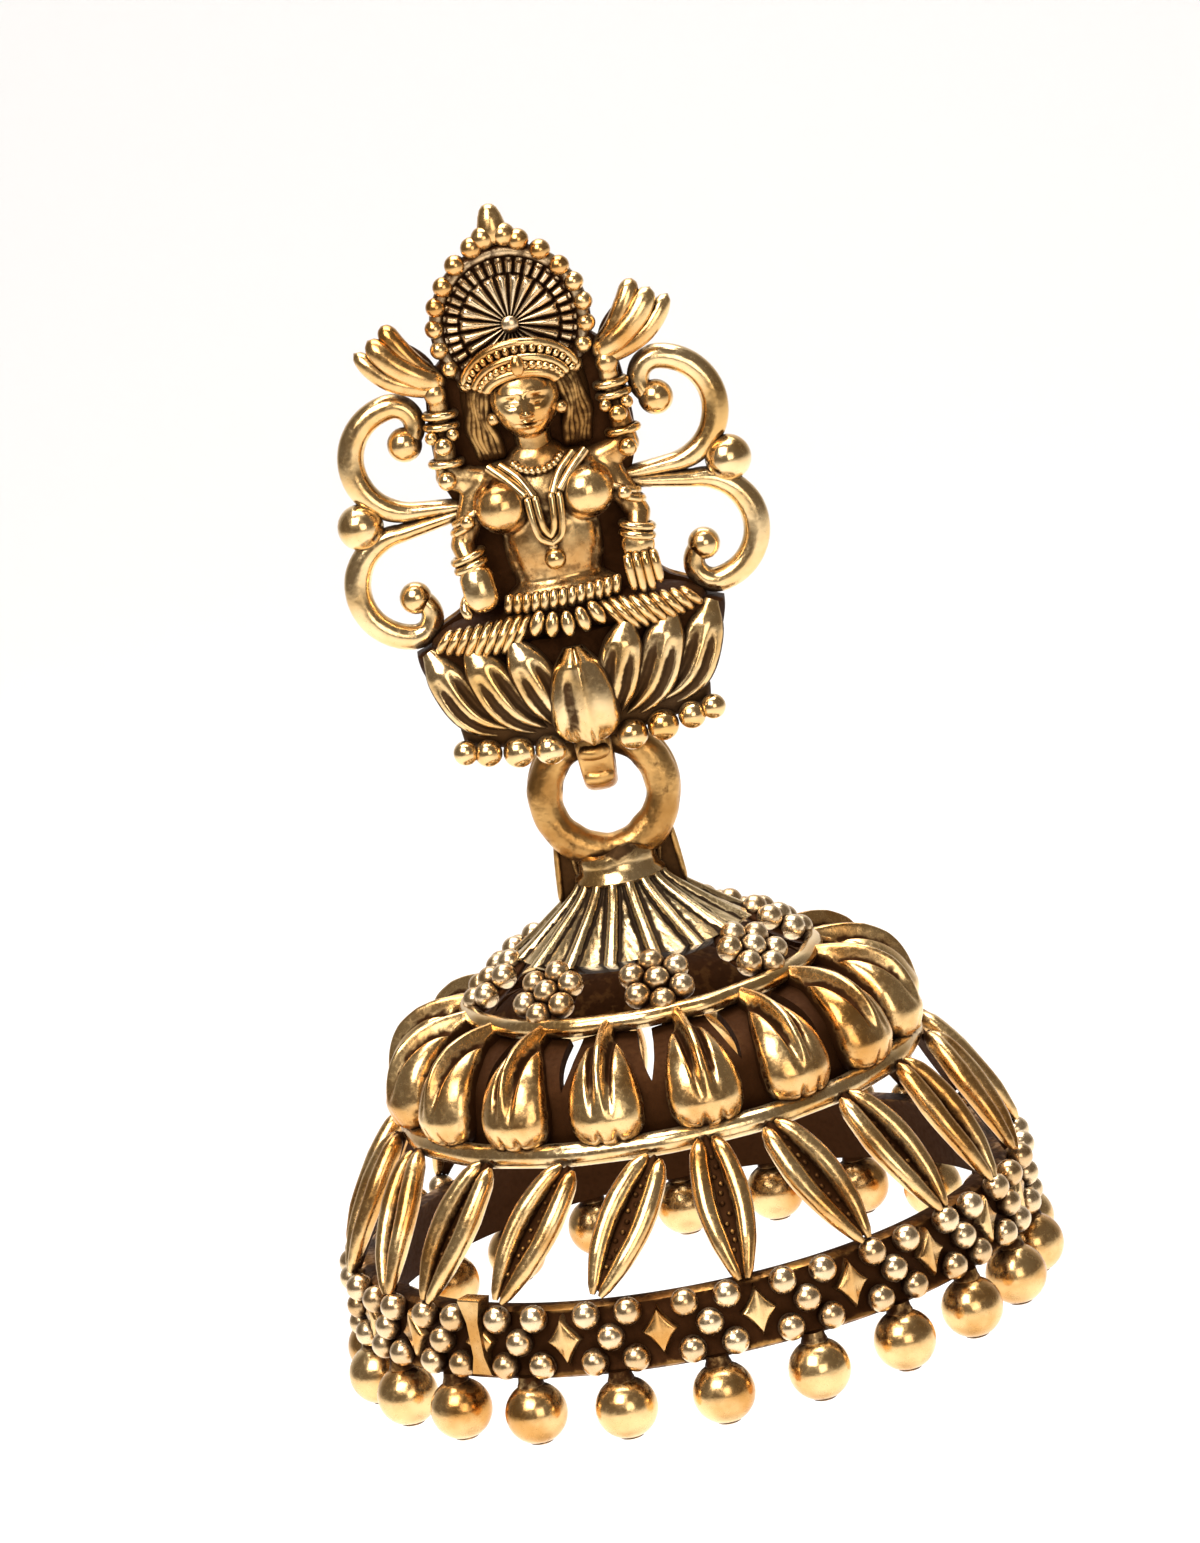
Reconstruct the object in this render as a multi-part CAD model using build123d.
"""Jhumka earring: a cast figure plaque with an ear post, and a cast openwork bell that hangs from it.

Frame: +Z is up, the front faces -Y, and the ear post points along +Y.
The origin is the middle of the post's seat on the plaque's flat back. All sizes are in millimetres.
"""
from build123d import *
import os

# --- the hanging joint: the bell's bail ring turns in the plaque's hook ------------
HANG_Y = -0.5            # the bell's axis
PIVOT_Z = -11.1          # middle of the bail ring's top wire
HOOK_HOLE_R = 1.0
HOOK_R = 1.95
HOOK_WIDTH = 1.6
HOOK_DROP = 0.15         # the hook's outer circle sits this far below its hole
HOOK_STEM_SIZE = (HOOK_WIDTH, 2.2, 1.8)
HOOK_STEM_RISE = 2.0     # from the pivot up to the stem's middle
HOOK_STEM_FRONT = 0.5    # and forwards
SWING_ROOM_R = 1.7       # cleared round the pivot for the bail's shoulders
SWING_ROOM_LENGTH = 6.8

# --- the plaque ---------------------------------------------------------------------
BACK_THICK = 0.9
# The back's outline on the right, from the top down: x, z.
BACK_OUTLINE = (
    (0, 8.0), (1.5, 7.6), (2.5, 6.4), (2.9, 4.6), (3.7, 3.6), (3.9, 0.4),
    (3.3, -1.6), (3.2, -3.4), (4.0, -5.2), (5.2, -6.0), (5.6, -7.4), (0, -8.4),
)
HALO_R = 2.75
HALO_THICK = 1.2
HALO_Z = 5.5
HALO_Y = -0.9
BORDER_R = 2.95
BORDER_WIRE_R = 0.32
FINIAL = (0, -0.95, 9.65)
FINIAL_R = 0.5
UNDER_FINIAL = (0, -0.85, 8.9)
UNDER_FINIAL_R = 0.42
# The figure's rounded forms: full size (x, y, z), then centre (x, y, z). Those off the middle are on its right.
FACE = ((2.7, 2.6, 3.2), (0, -1.5, 2.6))
CROWN = ((3.5, 2.6, 1.7), (0, -1.4, 4.3))
HAIR = ((1.5, 1.7, 4.3), (1.87, -0.87, 2.35))
SHOULDERS = ((5.6, 2.2, 2.2), (0, -1.0, -0.1))
MIDDLE = ((3.0, 2.6, 6.0), (0, -1.2, -2.8))
HIPS = ((4.8, 2.8, 1.8), (0, -1.3, -5.1))
LEGS = ((10.2, 4.2, 1.9), (0, -1.1, -6.2))
PALM = ((1.4, 1.5, 2.9), (3.15, -2.0, -4.4))
BUD = ((1.7, 1.5, 3.6), (4.3, -1.0, 4.9))
BUD_SPLAY = 52.0
BREAST = (1.62, -1.8, -1.3)
BREAST_R = 1.1
NECK_TOP = (0, -1.1, 1.6)
NECK_FOOT = (0, -1.1, 0)
THROAT_R = 0.75
NECKLACE_TOP = (0, -2.2, -0.8)
NECKLACE_FOOT = (0, -2.3, -2.9)
NECKLACE_R = 0.45
PENDANT = (0, -2.4, -3.5)
PENDANT_R = 0.42
SHOULDER = (2.2, -1.0, -0.3)
RAISED_ELBOW = (3.6, -1.1, 0.1)
RAISED_HAND = (3.35, -1.1, 3.4)
LOWER_ELBOW = (3.5, -1.5, -2.9)
LIMB_R = 0.5
ELBOW_R = 0.55
HAND_R = 0.6
STRAND_R = 0.47
SCROLL_Y = -0.65
SCROLL_ROOT_X = 2.9
SCROLL_ROOT_Z = -1.2
OUTER_SWEEP = 172.0                 # degrees round each curl's wide turn, then round its tight one
INNER_SWEEP = 168.0
CURL_RATIO = 0.38                   # tight turn's radius over the wide one's
UPPER_SCROLL = (5.0, 1.0, 2.1)      # centre x, centre z, radius
LOWER_SCROLL = (5.75, -3.9, 2.05)
UPPER_KNOB_R = 0.68
LOWER_KNOB_R = 0.55
SIDE_BEAD = (7.2, SCROLL_Y - 0.1, -1.3)
SIDE_BEAD_R = 0.9
LOTUS_HALF_WIDTH = 6.2
LOTUS_HEIGHT = 3.8
LOTUS_TOP_Z = -6.7
LOTUS_FRONT = 2.3
LOTUS_RIM = 1.7
LOTUS_CORE = 0.88                   # the raised middle of the lotus bowl, as a share of its outline
BUD_PETAL = ((2.7, 1.8, 4.0), (0, -LOTUS_FRONT, -8.9))
BASE_BEADS = ((1.6, 0.57), (2.83, 0.57), (3.99, 0.5), (4.85, 0.45))   # x, radius: clear of each other
BASE_BEAD_Y = -2.5
BASE_BEAD_Z = -10.95
BASE_BEAD_RISE = 0.022   # times x squared: the row curls up towards its ends
BASE_BAR_SIZE = (9.4, 0.9, 1.7)
BASE_BAR_PLACE = (0, -2.05, -9.75)

# --- the ear post --------------------------------------------------------------------
POST_R = 0.4
POST_LENGTH = 10.5

# --- the bell, from the bail ring down -----------------------------------------------
BAIL_R = 2.3
BAIL_WIRE_R = 0.68
SHOULDER_R = 2.55        # a second strand behind the bail ring
SHOULDER_WIRE_R = 0.45
SHOULDER_Y = 0.72
SHOULDER_GAP = 42.0      # degrees left open each side of the top, for the hook
LEG_Y = 0.4
LEG_R = 0.45
LEG_TOP_X = 1.95
LEG_FOOT_X = 2.45
COLLAR_R = 1.6
COLLAR_BORE_R = 1.1
COLLAR_BORE_DEPTH = 0.55
WALL = 0.9
EDGE_INSET = 0.4         # the wall's inner side starts this far in, above and below the flowers
CAP_NECK_R = 2.3         # the cap flares from here
CAP_NECK_DROP = 0.8
CAP_HOLLOW_R = 1.3       # the hollow under the cap narrows to this
CAP_HOLLOW_DROP = 1.6
RIB_COUNT = 16
RIB_R = 0.28
RIB_TOP_R = 1.5
WINDOW_R = (4.9, 6.3)    # from the axis to each opening between two flowers, and to its end
WINDOW_HALF_WIDTH = (0.6, 0.95)
FLOWER_COUNT = 8
FLOWER_PHASE = 8.0
PETAL_COUNT = 16
LEAF_COUNT = 20
BALL_COUNT = 22
BALL_PHASE = 2.4
CAP_R = 4.4
UPPER_RING_R = 6.8
UPPER_WIRE_R = 0.35
PETAL_R = 9.9
PETAL_BULGE = ((9.35, 1.35), (8.65, 1.95))   # radius and drop below the upper ring, outside then inside
PETAL_GAP_HALF_WIDTH = (0.85, 0.5, 0.8)      # at the top, the waist and the bottom
PETAL_GAP_Z = (0.35, 1.5, 0.2)               # below the upper ring, then twice above the mid ring
MID_RING_R = 10.1
MID_WIRE_R = 0.45
BAND_TOP_R = 12.9
BAND_R = 13.4
BAND_SHOULDER = 0.9      # how far down the band reaches its full width
BALL_RING_R = 13.2
BALL_R = 1.2
NECK_R = 0.5             # the short neck that carries a ball
LEAF_LENGTH = 6.1
LEAF_WIDTH = 2.0
LEAF_THICK = 0.9
LEAF_PROUD = 0.15        # out from the line between the mid ring and the band
LEAF_DROP = 0.2          # down along that line

BAIL_Z = PIVOT_Z - BAIL_R
COLLAR_TOP_Z = BAIL_Z - 2.4
CAP_TOP_Z = BAIL_Z - 3.3
CAP_BOTTOM_Z = BAIL_Z - 5.7
UPPER_RING_Z = BAIL_Z - 7.45
MID_RING_Z = BAIL_Z - 11.55
BAND_TOP_Z = BAIL_Z - 16.1
BAND_BOTTOM_Z = BAIL_Z - 19.5
BALL_Z = BAIL_Z - 20.7

# How far each leaf leans sideways, in degrees, going round from the first one right of the front.
LEAF_LEANS = (0, 17, 12, 0, -20, -15, 20, 5, -10, -20, 0, 18, 10, -12, 15, 5, 12, -18, -27, -28)

FRONT_PLANE = Plane(origin=(0, 0, 0), x_dir=(1, 0, 0), z_dir=(0, -1, 0))


def ball(x, y, z, radius):
    return Pos(x, y, z) * Sphere(radius)


def ellipsoid(size, centre, tilt=0.0):
    """An ellipsoid of full size (x, y, z), turned in the plaque's plane."""
    return Pos(*centre) * Rot(0, tilt, 0) * scale(Sphere(0.5), by=size)


def disc_y(x, y, z, radius, length):
    """A round disc or bar along Y, centred on a point."""
    return Pos(x, y, z) * Rot(90, 0, 0) * Cylinder(radius, length)


def disc_x(z, radius, length):
    """A round disc along X at the hanging joint's depth."""
    return Pos(0, HANG_Y, z) * Rot(0, 90, 0) * Cylinder(radius, length)


def rod(start, end, radius):
    line = Line(start, end)
    return sweep(Plane(origin=line @ 0, z_dir=line % 0) * Circle(radius), path=line)


def tube(path, radius):
    return sweep(Plane(origin=path @ 0, z_dir=path % 0) * Circle(radius), path=path)


def fused(pieces):
    """One solid, joined piece by piece: many rounded pieces that meet at once can come out open."""
    whole = pieces[0]
    for piece in pieces[1:]:
        whole = whole + piece
    return whole


# --- plaque ----------------------------------------------------------------------------

def backing():
    """The flat back that joins the figure, the halo and the lotus."""
    left = [(-x, z) for x, z in reversed(BACK_OUTLINE[1:-1])]
    outline = Polyline(*BACK_OUTLINE, *left, close=True)
    return extrude(FRONT_PLANE * make_face(outline), amount=BACK_THICK)


def halo():
    disc = disc_y(0, HALO_Y, HALO_Z, HALO_R, HALO_THICK)
    border = Pos(0, HALO_Y, HALO_Z) * Rot(90, 0, 0) * Torus(BORDER_R, BORDER_WIRE_R)
    return [disc, border, ball(*FINIAL, FINIAL_R), ball(*UNDER_FINIAL, UNDER_FINIAL_R)]


def head():
    return [ellipsoid(*FACE), ellipsoid(*CROWN), rod(NECK_FOOT, NECK_TOP, THROAT_R)]


def torso():
    forms = [ellipsoid(*SHOULDERS), ellipsoid(*MIDDLE), ellipsoid(*HIPS)]
    return forms + [rod(NECKLACE_TOP, NECKLACE_FOOT, NECKLACE_R), ball(*PENDANT, PENDANT_R)]


def right_side():
    """What the figure has on its right and its left: hair, breast, two arms, palm and lotus bud."""
    forms = [ellipsoid(*HAIR), ball(*BREAST, BREAST_R), ellipsoid(*PALM), ellipsoid(*BUD, BUD_SPLAY)]
    limbs = [rod(SHOULDER, RAISED_ELBOW, LIMB_R), rod(RAISED_ELBOW, RAISED_HAND, LIMB_R)]
    limbs.append(rod(SHOULDER, LOWER_ELBOW, LIMB_R))
    knuckles = [ball(*RAISED_ELBOW, ELBOW_R), ball(*RAISED_HAND, HAND_R), ball(*LOWER_ELBOW, ELBOW_R)]
    return forms + limbs + knuckles


def scroll(centre_x, centre_z, radius, turn, knob_r):
    """One curl from the body round to its knob; turn is 1 for an upper curl and -1 for a lower one."""
    outer = CenterArc((centre_x, centre_z), radius, -90 * turn, OUTER_SWEEP * turn)
    inner = JernArc(outer @ 1, outer % 1, CURL_RATIO * radius, INNER_SWEEP * turn)
    path = Pos(0, SCROLL_Y, 0) * (FRONT_PLANE * Wire([outer.edge(), inner.edge()]))
    root_end = (SCROLL_ROOT_X - 0.1 * turn, SCROLL_Y - 0.05, SCROLL_ROOT_Z + 0.35 * turn)
    root = rod(path @ 0, root_end, STRAND_R)
    knob = Pos(*(path @ 1)) * Sphere(knob_r)
    return [tube(path, STRAND_R), root, knob]


def scrolls():
    upper = scroll(*UPPER_SCROLL, 1, UPPER_KNOB_R)
    lower = scroll(*LOWER_SCROLL, -1, LOWER_KNOB_R)
    return upper + lower + [ball(*SIDE_BEAD, SIDE_BEAD_R)]


def half_bowl(share, depth):
    """The lotus bowl's outline, at a share of its full size, standing out from the back."""
    outline = Ellipse(share * LOTUS_HALF_WIDTH, share * LOTUS_HEIGHT)
    lower_half = Pos(0, -10) * Rectangle(20, 20)
    return Pos(0, 0, LOTUS_TOP_Z) * extrude(FRONT_PLANE * (outline & lower_half), amount=depth)


def lotus():
    bowl = [half_bowl(1.0, LOTUS_RIM), half_bowl(LOTUS_CORE, LOTUS_FRONT)]
    bar = Pos(*BASE_BAR_PLACE) * Box(*BASE_BAR_SIZE)
    return bowl + [ellipsoid(*BUD_PETAL), ellipsoid(*LEGS), bar]


def base_beads():
    row = []
    for x, radius in BASE_BEADS:
        z = BASE_BEAD_Z + BASE_BEAD_RISE * x * x
        row.append(ball(x, BASE_BEAD_Y, z, radius))
    return row


def hook():
    """The loop under the lotus, seen edge on from the front, and the stem that carries it."""
    loop = disc_x(PIVOT_Z - HOOK_DROP, HOOK_R, HOOK_WIDTH)
    stem = Pos(0, HANG_Y - HOOK_STEM_FRONT, PIVOT_Z + HOOK_STEM_RISE) * Box(*HOOK_STEM_SIZE)
    return loop + stem - disc_x(PIVOT_Z, HOOK_HOLE_R, 2 * HOOK_WIDTH)


def figure_plaque():
    right = right_side() + scrolls() + base_beads()
    left = [mirror(piece, about=Plane.YZ) for piece in right]
    casting = fused([backing()] + halo() + head() + torso() + lotus() + right + left)
    swing_room = disc_x(PIVOT_Z, SWING_ROOM_R, SWING_ROOM_LENGTH)
    behind = Pos(0, 5, 0) * Box(40, 10, 60)
    return casting - behind - swing_room + hook()


def ear_post():
    return disc_y(0, POST_LENGTH / 2, 0, POST_R, POST_LENGTH)


# --- bell, modelled on its own axis --------------------------------------------------------

def around(count, shape, phase=0.0):
    """Copies of a shape that faces the front, set evenly round the axis."""
    return [Rot(0, 0, phase + k * 360 / count) * shape for k in range(count)]


def petal_wall():
    """Outer and inner curve of the petal tier, from the upper ring to the mid ring."""
    foot_z = MID_RING_Z + 0.1
    outside, inside = [(radius, UPPER_RING_Z - drop) for radius, drop in PETAL_BULGE]
    inner_top = (UPPER_RING_R - EDGE_INSET, UPPER_RING_Z - WALL)
    outer = ThreePointArc((UPPER_RING_R, UPPER_RING_Z), outside, (PETAL_R, foot_z))
    inner = ThreePointArc((PETAL_R - WALL, foot_z), inside, inner_top)
    return outer, inner


def shell():
    """The turned wall of the cap, the flower band and the petal tier."""
    outer, inner = petal_wall()
    hollow_z = CAP_TOP_Z - CAP_HOLLOW_DROP
    over = Polyline(
        (0, CAP_TOP_Z), (COLLAR_R, CAP_TOP_Z), (CAP_NECK_R, CAP_TOP_Z - CAP_NECK_DROP),
        (CAP_R, CAP_BOTTOM_Z), outer @ 0,
    )
    foot = Line(outer @ 1, inner @ 0)
    under = Polyline(
        inner @ 1, (CAP_R - EDGE_INSET, CAP_BOTTOM_Z - WALL), (CAP_HOLLOW_R, hollow_z), (0, hollow_z), over @ 0,
    )
    face = make_face(Curve() + [over, outer, foot, inner, under])
    return revolve(Plane.XZ * face, axis=Axis.Z)


def flower_window():
    """An opening between two flowers, cut straight down."""
    near, far = WINDOW_R
    near_x, far_x = WINDOW_HALF_WIDTH
    outline = Polyline((-near_x, -near), (near_x, -near), (far_x, -far), (-far_x, -far), close=True)
    return Pos(0, 0, CAP_BOTTOM_Z - 1) * extrude(make_face(outline), amount=2.5, both=True)


def petal_gap():
    """An opening between two petals: wide at their stems, narrow at their shoulders."""
    top, waist, bottom = PETAL_GAP_Z
    levels = (UPPER_RING_Z - top, MID_RING_Z + waist, MID_RING_Z + bottom)
    right = list(zip(PETAL_GAP_HALF_WIDTH, levels))
    left = [(-x, z) for x, z in reversed(right)]
    return extrude(FRONT_PLANE * make_face(Polyline(*right, *left, close=True)), amount=BAND_R)


def leaf(lean):
    """An almond leaf on the cone between the mid ring and the rim band."""
    half = LEAF_LENGTH / 2
    side = ThreePointArc((0, -half), (LEAF_WIDTH / 2, 0), (0, half))
    other_side = ThreePointArc((0, half), (-LEAF_WIDTH / 2, 0), (0, -half))
    face = make_face(Curve() + [side, other_side])
    slope = Vector(0, BAND_TOP_R - MID_RING_R, MID_RING_Z - BAND_TOP_Z).normalized()
    outward = Vector(0, -slope.Z, slope.Y)
    middle = Vector(0, -(MID_RING_R + BAND_TOP_R) / 2, (MID_RING_Z + BAND_TOP_Z) / 2)
    middle = middle + outward * LEAF_PROUD - slope * LEAF_DROP
    seat = Plane(origin=middle, x_dir=(1, 0, 0), z_dir=outward)
    return seat * Rot(0, 0, lean) * extrude(face, amount=LEAF_THICK / 2, both=True)


def leaves():
    step = 360 / LEAF_COUNT
    return [Rot(0, 0, (k + 0.5) * step) * leaf(lean) for k, lean in enumerate(LEAF_LEANS)]


def rim_band():
    profile = Polyline(
        (BAND_TOP_R - WALL, BAND_TOP_Z), (BAND_TOP_R, BAND_TOP_Z), (BAND_R, BAND_TOP_Z - BAND_SHOULDER),
        (BAND_R, BAND_BOTTOM_Z), (BAND_R - WALL, BAND_BOTTOM_Z), close=True,
    )
    return revolve(Plane.XZ * make_face(profile), axis=Axis.Z)


def rim_ball():
    neck_top = BAND_BOTTOM_Z + 0.3
    neck = Pos(0, -BALL_RING_R + 0.15, (neck_top + BALL_Z) / 2) * Cylinder(NECK_R, neck_top - BALL_Z)
    return ball(0, -BALL_RING_R, BALL_Z, BALL_R) + neck


def rib():
    """A raised rib down the cap."""
    return rod((0, -RIB_TOP_R, CAP_TOP_Z - 0.1), (0, -CAP_R, CAP_BOTTOM_Z), RIB_R)


def bail():
    """The bail ring, the strand behind its shoulders, its two legs and the collar it stands in."""
    ring = Pos(0, 0, BAIL_Z) * Rot(90, 0, 0) * Torus(BAIL_R, BAIL_WIRE_R)
    arc = CenterArc((0, 0), SHOULDER_R, 90 + SHOULDER_GAP, 360 - 2 * SHOULDER_GAP)
    shoulders = tube(Pos(0, SHOULDER_Y, BAIL_Z) * (FRONT_PLANE * arc), SHOULDER_WIRE_R)
    right_leg = rod((LEG_TOP_X, LEG_Y, BAIL_Z - 1.5), (LEG_FOOT_X, LEG_Y, CAP_TOP_Z - 1.1), LEG_R)
    collar = Pos(0, 0, (COLLAR_TOP_Z + CAP_TOP_Z) / 2) * Cylinder(COLLAR_R, COLLAR_TOP_Z - CAP_TOP_Z)
    bore = Pos(0, 0, COLLAR_TOP_Z) * Cylinder(COLLAR_BORE_R, 2 * COLLAR_BORE_DEPTH)
    return (collar - bore) + ring + shoulders + right_leg + mirror(right_leg, about=Plane.YZ)


def bell():
    wall = shell() - around(FLOWER_COUNT, flower_window(), FLOWER_PHASE + 180 / FLOWER_COUNT)
    wall = wall - around(PETAL_COUNT, petal_gap())
    upper_ring = Pos(0, 0, UPPER_RING_Z) * Torus(UPPER_RING_R, UPPER_WIRE_R)
    mid_ring = Pos(0, 0, MID_RING_Z) * Torus(MID_RING_R - MID_WIRE_R / 2, MID_WIRE_R)
    casting = wall + upper_ring + mid_ring + rim_band() + leaves()
    casting = casting + around(RIB_COUNT, rib(), 180 / RIB_COUNT)
    casting = casting + around(BALL_COUNT, rim_ball(), BALL_PHASE)
    return Pos(0, HANG_Y, 0) * (casting + bail())


def main():
    os.makedirs("parts", exist_ok=True)
    pieces = {"figure_plaque": figure_plaque(), "ear_post": ear_post(), "bell": bell()}
    for name, piece in pieces.items():
        export_step(piece, f"parts/{name}.step")
        print(name, "solids", len(piece.solids()), "volume", round(piece.volume, 1), "mm3")


main()
